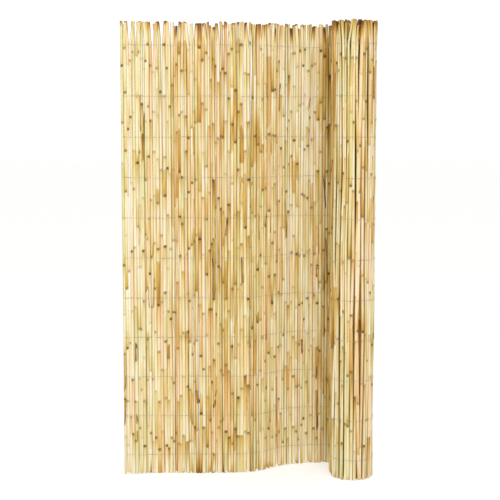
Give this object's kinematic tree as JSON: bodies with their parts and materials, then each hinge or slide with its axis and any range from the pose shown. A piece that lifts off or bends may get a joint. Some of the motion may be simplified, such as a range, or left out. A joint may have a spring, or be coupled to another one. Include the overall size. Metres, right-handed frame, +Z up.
{
  "type": "reed screen",
  "caption": "Standing screen of peeled reeds bound side by side with wire, open at the left and rolled up at its right end.",
  "frame": {"origin": "on the floor under the middle of the outline", "axes": "+Z up along the reeds, -Y towards the viewer of the picture, +X towards the rolled end"},
  "size_m": [0.8342, 0.2112, 1.5],
  "materials": {
    "reed": "dry peeled reed, satin with dull old sheaths",
    "wire": "galvanised, dulled"
  },
  "bodies": {
    "root": {"reed_mat": "reed", "row_01_upper_wire": "wire", "row_01_lower_wire": "wire", "row_02_upper_wire": "wire", "row_02_lower_wire": "wire", "row_03_upper_wire": "wire", "row_03_lower_wire": "wire", "row_04_upper_wire": "wire", "row_04_lower_wire": "wire", "row_05_upper_wire": "wire", "row_05_lower_wire": "wire", "row_06_upper_wire": "wire", "row_06_lower_wire": "wire", "row_07_upper_wire": "wire", "row_07_lower_wire": "wire", "row_08_upper_wire": "wire", "row_08_lower_wire": "wire", "row_09_upper_wire": "wire", "row_09_lower_wire": "wire", "row_10_upper_wire": "wire", "row_10_lower_wire": "wire", "row_11_upper_wire": "wire", "row_11_lower_wire": "wire"}
  },
  "joints": []
}
